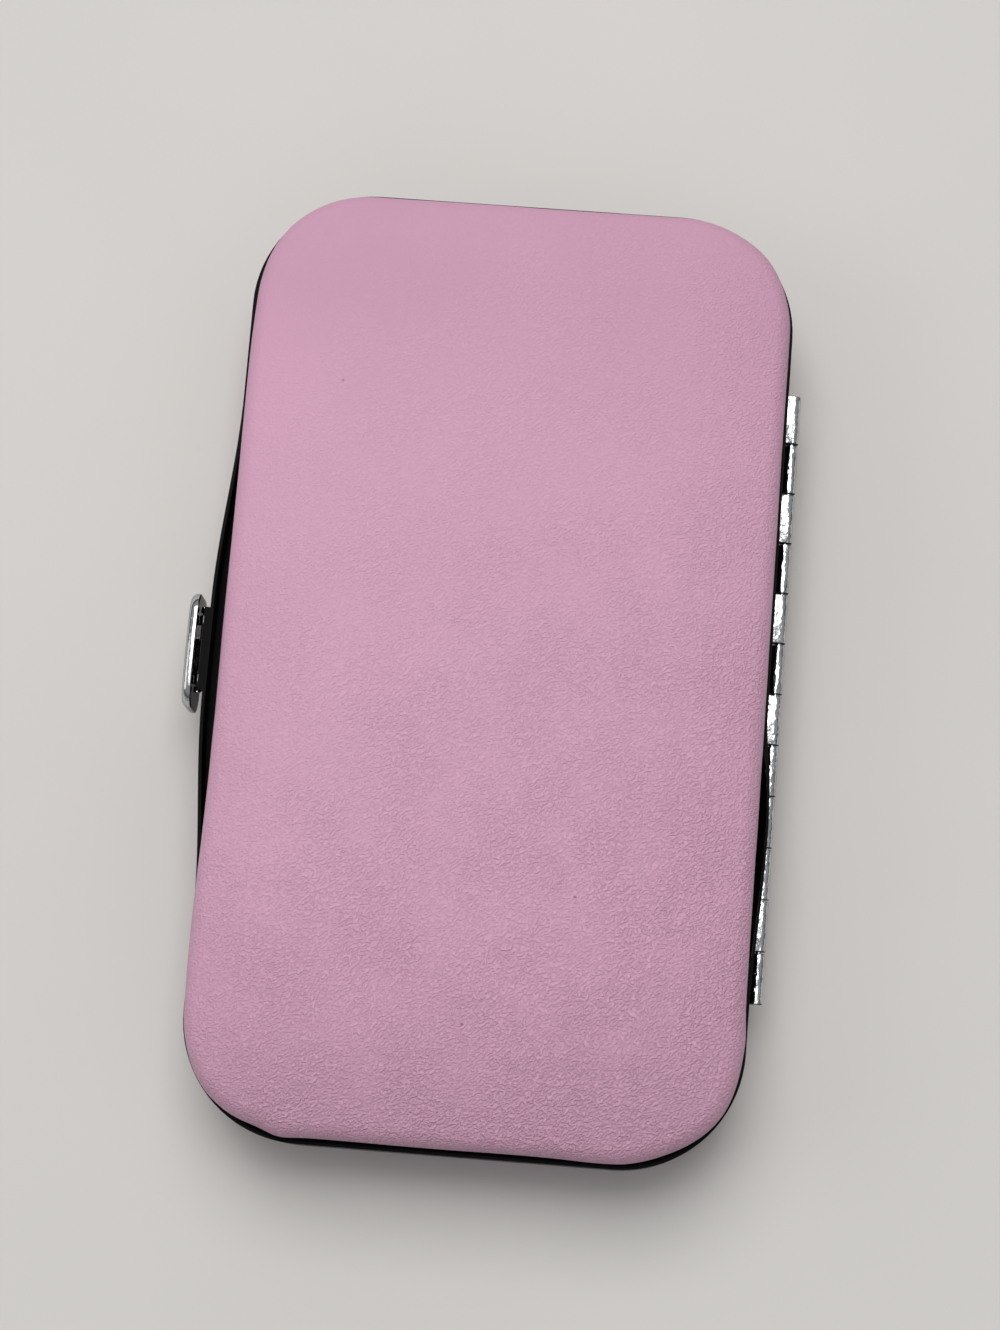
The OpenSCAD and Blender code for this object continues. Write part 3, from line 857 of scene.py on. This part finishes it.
def clasp_plate():
    """The clasp's pressed plate: crowned face, rim rounded far over on the outside and its top
    slightly arched. It stops a little short of the CAD plate at the photograph's upper end."""
    t = PLATE_T
    section = ([(0.05, 2.5), (0, 0.5)] + rim_arc(PLATE_EDGE_R, PLATE_EDGE_R, 180, 90, 3)
               + [(0.24, 0.0)] + rim_arc(PLATE_ROLL_AT, PLATE_ROLL_R, 90, 8, 10)
               + [(t - 0.07, 1.5), (t - 0.02, 2.8), (t, 3.8)])
    half_y = (PLATE_HIGH.y - PLATE_LOW.y) / MM / 2 - PLATE_SHORT / 2
    half_z = PLATE_HIGH.z / MM - HALF_H
    bm = slab((half_y, half_z, PLATE_CORNER), section, plate_ring, steps=10, runs=(20, 6))
    for v in bm.verts:
        wave = noise.noise(Vector((0, v.co.y, v.co.z)) / 1.9)
        v.co.z -= PLATE_ARCH * (v.co.y / half_y) ** 2 * (v.co.z - HALF_H) / half_z
        v.co.z += 0.04 * (wave - 0.5)
    return finished(bm, "clasp_plate", smooth_angle=50)


def clasp_lugs():
    """The two lugs curled round the pin and the hook, of one sheet with the plate."""
    bm = bmesh.new()
    inner = PLATE_OUT + PLATE_T - 0.15
    low = PIN[1] - LUG_MID
    curl = ([(inner, low)] + line((inner + 0.2, low), (PIN[0], low), 2)
            + arc(PIN, LUG_MID, -90, 195, 20))
    for side in (-1, 1):
        drawn_along(bm, curl, side * LUG_Y - LUG_W / 2, side * LUG_Y + LUG_W / 2, 3)
    bend = HOOK_TIP - 0.3
    hook = (line((inner, HOOK_Z), (bend, HOOK_Z), 3)
            + arc((bend, HOOK_Z - HOOK_BEND_R), HOOK_BEND_R, 90, 30, 4))
    drawn_along(bm, hook, -HOOK_W / 2, HOOK_W / 2, 4)
    bmesh.ops.recalc_face_normals(bm, faces=bm.faces)
    lugs = finished(bm, "clasp_lugs", smooth_angle=50)
    thickened(lugs, LUG_T, 0.07)
    return lugs


def clasp_spring():
    """The torsion spring's coil round the pin and its leg on the bracket."""
    steps = round(COIL_TURNS * 20)
    turns = [2 * math.pi * COIL_TURNS * i / steps for i in range(steps + 1)]
    coil = [(PIN[0] - COIL_R * math.cos(t), COIL_Y - COIL_PITCH * t / (2 * math.pi),
             PIN[1] - COIL_R * math.sin(t)) for t in turns]
    end = PIN[0] + COIL_R
    leg = [(end, -COIL_Y, PIN[1] + 0.3), (end, -COIL_Y, LEG_TOP)]
    return wire("clasp_spring_coil", [coil + leg], WIRE_R)


def clasp_leg():
    """The spring's other leg, which moves with the plate."""
    start = PIN[0] - COIL_R
    return wire("clasp_spring_leg", [[(start, COIL_Y, PIN[1] - 0.03), (start, COIL_Y, LEG_TOP)]], WIRE_R)


class CASE_OT_clasp(bpy.types.Operator):
    """Model the clasp's plate, lugs, hook and spring, and finish its pin, bracket and catch"""

    bl_idname = "case.clasp"
    bl_label = "Clasp"

    def execute(self, context):
        plated = ready("clasp_chrome", lambda: chrome("clasp_chrome", colours().chrome, 0.035, 0.5))
        # Chrome at a fifth of its brightness is painted shade for the recess behind the plate: on the
        # plate's back, the lugs, the hook and the spring.
        dull = ready("recess_chrome_painted_shade", lambda: chrome(
            "recess_chrome_painted_shade", shade(colours().chrome, 0.2), 0.03, 0.6))
        black = black_enamel()
        plate = fitted(clasp_plate(), plated, "lever", "chrome_plate", "clasp_lever")
        plate.data.materials.append(dull)
        # The plate's back, turned in towards the case, gets the painted shade.
        for face in plate.data.polygons:
            face.material_index = 1 if face.normal.x > 0.8 else 0
        fitted(clasp_lugs(), dull, "lever", "chrome_plate")
        fitted(clasp_spring(), dull, "lid", "spring_steel", "clasp_spring")
        fitted(clasp_leg(), dull, "lever", "spring_steel")
        for node, material, body, slot in (
                ("clasp_pin", plated, "lid", "chrome_plate"),
                ("clasp_bracket", black, "lid", "frame_paint"),
                ("clasp_catch", black, "base", "frame_paint")):
            fitted(pressed_copy(node, sizes().metal_edge), material, body, slot, node)
        return {"FINISHED"}


def board_section():
    """The section of a padded board, out from the middle of its corner."""
    face = BOARD_BACK - BOARD_T
    edge = BOARD_T / 2
    return (line((0, BOARD_BACK), (BOARD_R - edge, BOARD_BACK), 4)
            + arc((BOARD_R - edge, BOARD_BACK - edge), edge, 90, -55, 8)
            + [(BOARD_R - 0.7, face + 0.04), (BOARD_R - 1.6, face)]
            + line((BOARD_R - 3.0, face), (0, face), 3) + [(0, face)])


# A board's slow waves and its dip under the band: their size across and their depth, in mm
BOARD_WAVE = (9.0, 0.08)
BOARD_DIP = (8.0, 0.09)


def padded_board(half, side):
    """A board under flocked cloth: soft edges, slightly full, drawn down under the band."""
    corner = (BOARD_W / 2 - BOARD_R, BOARD_L / 2 - BOARD_R)
    bm = swept_pan(board_section(), corner, side, spacing=2)
    middle = (BAND_FROM + BAND_TO) / 2
    for v in bm.verts:
        if side * (v.co.z - HALF_H) < BOARD_BACK - BOARD_T + 0.1:
            slow = noise.noise(Vector((v.co.x, v.co.y, 5 * side)) / BOARD_WAVE[0])
            drawn = math.exp(-((v.co.y - middle) / BOARD_DIP[0]) ** 2)
            v.co.z -= side * (BOARD_WAVE[1] * slow - BOARD_DIP[1] * drawn)
    return finished(bm, f"{half}_padded_board", smooth_angle=60)


class CASE_OT_linings(bpy.types.Operator):
    """Model the flocked linings and the padded boards inside both halves"""

    bl_idname = "case.linings"
    bl_label = "Linings and boards"

    def execute(self, context):
        flock = ready("flocked_lining", lambda: velvet("flocked_lining", colours().lining))
        for half, side in HALVES.items():
            bm = swept_pan(lining_section(), (CORNER_X, CORNER_Y), side, spacing=4)
            area = sum(face.calc_area() for face in bm.faces) / 2
            cloth = finished(bm, f"{half}_flock", smooth_angle=50)
            fitted(cloth, flock, BODY_OF_HALF[half], "lining", f"{half}_lining")
            board = fitted(padded_board(half, side), flock, BODY_OF_HALF[half], "lining", f"{half}_board")
            rounded(board)
        return {"FINISHED"}


# How far a loop leans, and how far it sags at least and by chance, in mm
LEAN = 0.5
SAG_LEAST = 0.15
SAG_MORE = 0.35


def band_path(loops):
    """Middle line of an elastic band over its loops, as (x, height over the board)."""
    low, high = BAND_T / 2, LOOP_H - BAND_T / 2
    bend = LOOP_R - BAND_T / 2
    path = [(-BAND_SPAN / 2, low)]
    for middle, width in loops:
        side = width / 2 - BAND_T / 2
        foot = arc((-side - FOOT_R, low + FOOT_R), FOOT_R, -90, 0, 4)
        rise = line((-side, low + FOOT_R), (-side, high - bend), 4)[1:]
        left = foot + rise + arc((bend - side, high - bend), bend, 180, 90, 8)
        left += line((bend - side, high), (0, high), 4)[1:]
        both = left + [(0, high)] + [(-x, up) for x, up in reversed(left)]
        for x, up in both:
            full = math.sin(math.pi * (up - low) / (2 * high))
            lean = LEAN * noise.noise(Vector((middle, 3.1, 0.4)))
            slack = SAG_LEAST + SAG_MORE * abs(noise.noise(Vector((middle, 7.3, 1.9))))
            sag = slack * full * (1 - 0.7 * (x / side) ** 2)
            path.append((middle + x * (1 + 0.04 * full) + lean * full, up - sag))
    return path + [(BAND_SPAN / 2, low)]


# Stitches in a row of tacks, how far it starts in from the band's edge, and its swing, in mm
STITCHES = 25
TACK_INSET = 0.7
TACK_SWING = 0.4


def tack_runs(loops, side):
    """Zigzag rows of thread that hold the band down between its loops."""
    edges = [-BAND_SPAN / 2] + [m + s * w / 2 for m, w in loops for s in (-1, 1)] + [BAND_SPAN / 2]
    length = BAND_TO - BAND_FROM - 2 * TACK_INSET
    face = BOARD_BACK - BOARD_T - BAND_T
    runs = []
    for left, right in zip(edges[::2], edges[1::2]):
        middle, swing = (left + right) / 2, min(TACK_SWING, (right - left) / 2 - 0.3)
        run = []
        for i in range(STITCHES):
            turn, over = (1, 0.02) if i % 2 else (-1, 0.05)
            run.append((middle + swing * turn,
                        BAND_FROM + TACK_INSET + length * i / (STITCHES - 1),
                        HALF_H + side * (face - over)))
        runs.append(run)
    return runs


class CASE_OT_tool_loops(bpy.types.Operator):
    """Model the elastic tool loops on both boards, and the thread that holds them"""

    bl_idname = "case.tool_loops"
    bl_label = "Tool loops"

    def execute(self, context):
        elastic = ready("woven_elastic", lambda: woven_elastic(colours().elastic))
        sewn = ready("sewing_thread", thread)
        for half, side in HALVES.items():
            path = band_path(LOOPS[half])
            face = BOARD_BACK - BOARD_T
            bm = bmesh.new()
            drawn_along(bm, [(x, HALF_H + side * (face - up)) for x, up in path], BAND_FROM, BAND_TO, 16)
            bmesh.ops.recalc_face_normals(bm, faces=bm.faces)
            for v in bm.verts:
                raised = min(1.0, abs(v.co.z - HALF_H) / face)
                v.co.z += (0.04 + 0.12 * (1 - raised)) * noise.noise(Vector(v.co) / 2.4)
            band = finished(bm, f"{half}_elastic_band", smooth_angle=60)
            thickened(band, BAND_T * 0.92, 0.12)
            body = BODY_OF_HALF[half]
            fitted(band, elastic, body, "elastic", f"{half}_tool_loops")
            tacks = wire(f"{half}_tacks", tack_runs(LOOPS[half], side), THREAD_R)
            fitted(tacks, sewn, body, "elastic")
        return {"FINISHED"}


class CASE_OT_stage(bpy.types.Operator):
    """Set the floor, the lights and the camera"""

    bl_idname = "case.stage"
    bl_label = "Stage"

    def execute(self, context):
        stage = context.scene.case_stage
        make_floor(stage.floor)
        make_sky(stage.sky)
        for name, (place, size, share, colour) in LAMPS.items():
            make_lamp(name, place, size, stage.key_power * share, colour)
        make_camera(stage.lens)
        context.scene.view_settings.view_transform = "Standard"
        return {"FINISHED"}


# Stage

FLOOR_HALF = 6000

# Each lamp's place and size in metres, its share of the key light's power, and its colour
LAMPS = {
    "key_light": ((-0.10, 0.55, 1.25), 0.9, 1.0, (1.0, 0.985, 0.96)),
    "side_light": ((-1.0, -0.1, 0.6), 0.7, 0.13, (1.0, 0.98, 0.96)),
}

# The camera's tilt, roll and turn in degrees, and its offset in mm from the fitted plane
CAMERA_TURNS = (-10.34, -1.33, -4.58)
CAMERA_OFFSET = (-0.795, -0.148, -350.45)


def make_floor(colour):
    """A large pale sheet under the case, very slightly uneven in tone."""
    bm = bmesh.new()
    bmesh.ops.create_grid(bm, x_segments=8, y_segments=8, size=FLOOR_HALF)
    floor = finished(bm, "floor")
    material, nodes, links, shader, place = new_material("pale_floor")
    cloud = noise_field(nodes, links, place, 60, detail=2.0)
    links.new(ramp(nodes, links, cloud.outputs["Fac"], 0.3, 0.7, shade(colour, 0.985), shade(colour, 1.01)),
              shader.inputs["Base Color"])
    shader.inputs["Roughness"].default_value = 0.75
    shader.inputs["Specular IOR Level"].default_value = 0.2
    floor.data.materials.append(material)


# The sky's tones by how squarely a direction points at the overhead glow, from -1 to 1
GLOW = (0.03, 0.17, 0.985)
SKY = [
    (-1.0, (0.50, 0.50, 0.50)),
    (0.0, (0.95, 0.95, 0.94)),
    (0.05, (0.80, 0.80, 0.80)),
    (0.11, (0.16, 0.16, 0.17)),
    (0.25, (0.22, 0.22, 0.24)),
    (0.5, (0.80, 0.81, 0.84)),
    (0.93, (0.86, 0.87, 0.89)),
    (0.975, (4.4, 4.4, 4.4)),
    (1.0, (5.0, 5.0, 5.0)),
]


def make_sky(strength):
    """Light from all round with a glow overhead, so that metal has something to show."""
    world = bpy.context.scene.world or bpy.data.worlds.new("sky")
    bpy.context.scene.world = world
    world.use_nodes = True
    nodes, links = world.node_tree.nodes, world.node_tree.links
    back = nodes["Background"]
    place = nodes.new("ShaderNodeTexCoord")
    square = nodes.new("ShaderNodeVectorMath")
    square.operation = "DOT_PRODUCT"
    square.inputs[1].default_value = Vector(GLOW).normalized()
    links.new(place.outputs["Generated"], square.inputs[0])
    tones = nodes.new("ShaderNodeValToRGB")
    stops = tones.color_ramp.elements
    stops[0].color, stops[1].color = (*SKY[0][1], 1), (*SKY[-1][1], 1)
    for position, colour in SKY[1:-1]:
        stops.new((position + 1) / 2).color = (*colour, 1)
    links.new(remap(nodes, links, square.outputs["Value"], -1.0, 1.0, 0.0, 1.0), tones.inputs["Fac"])
    links.new(tones.outputs["Color"], back.inputs["Color"])
    back.inputs["Strength"].default_value = strength


def make_lamp(name, place, size, power, colour):
    """A square soft lamp that points at the middle of the case."""
    light = bpy.data.lights.new(name, "AREA")
    light.size = size
    light.energy = power
    light.color = colour
    lamp = bpy.data.objects.new(name, light)
    bpy.context.scene.collection.objects.link(lamp)
    aim = Vector((0, 0, HALF_H * MM)) - Vector(place)
    lamp.matrix_world = Matrix.Translation(place) @ aim.to_track_quat("-Z", "Y").to_matrix().to_4x4()


def make_camera(lens):
    """The photograph's viewpoint: almost straight down, from a little towards the lower end."""
    tilt, roll, turn = (math.radians(a) for a in CAMERA_TURNS)
    offset = Vector(CAMERA_OFFSET) * MM
    seen_plane = Matrix.Translation((0, 0, (HALF_H + WIDEST_S) * MM))
    world_to_camera = (Matrix.Translation(offset) @ Matrix.Rotation(tilt, 4, "X")
                       @ Matrix.Rotation(roll, 4, "Y") @ Matrix.Rotation(turn, 4, "Z"))
    data = bpy.data.cameras.new("camera")
    data.lens = lens
    data.sensor_width = 36
    data.clip_start = 0.01
    camera = bpy.data.objects.new("camera", data)
    bpy.context.scene.collection.objects.link(camera)
    camera.matrix_world = seen_plane @ world_to_camera.inverted()
    bpy.context.scene.camera = camera


class CASE_PT_panel(bpy.types.Panel):
    """The case's sizes, colours and steps, in the 3D view's sidebar."""

    bl_idname = "CASE_PT_panel"
    bl_label = "Manicure Case"
    bl_space_type = "VIEW_3D"
    bl_region_type = "UI"
    bl_category = "Case"

    def draw(self, context):
        column = self.layout.column()
        for group in (context.scene.case_sizes, context.scene.case_colours, context.scene.case_stage):
            for name in group.__annotations__:
                column.prop(group, name)
        for operator in OPERATORS:
            column.operator(operator.bl_idname)


GROUPS = {"case_sizes": CaseSizes, "case_colours": CaseColours, "case_stage": StageSettings}
OPERATORS = [
    CASE_OT_padded_covers,
    CASE_OT_frames,
    CASE_OT_hinge,
    CASE_OT_clasp,
    CASE_OT_linings,
    CASE_OT_tool_loops,
    CASE_OT_stage,
]


def register():
    for cls in [*GROUPS.values(), *OPERATORS, CASE_PT_panel]:
        bpy.utils.register_class(cls)
    for name, group in GROUPS.items():
        setattr(bpy.types.Scene, name, bpy.props.PointerProperty(type=group))


def unregister():
    for name in GROUPS:
        delattr(bpy.types.Scene, name)
    for cls in reversed([*GROUPS.values(), *OPERATORS, CASE_PT_panel]):
        bpy.utils.unregister_class(cls)


def main():
    register()
    for operator in OPERATORS:
        group, name = operator.bl_idname.split(".")
        getattr(getattr(bpy.ops, group), name)()


if __name__ == "__main__":
    main()
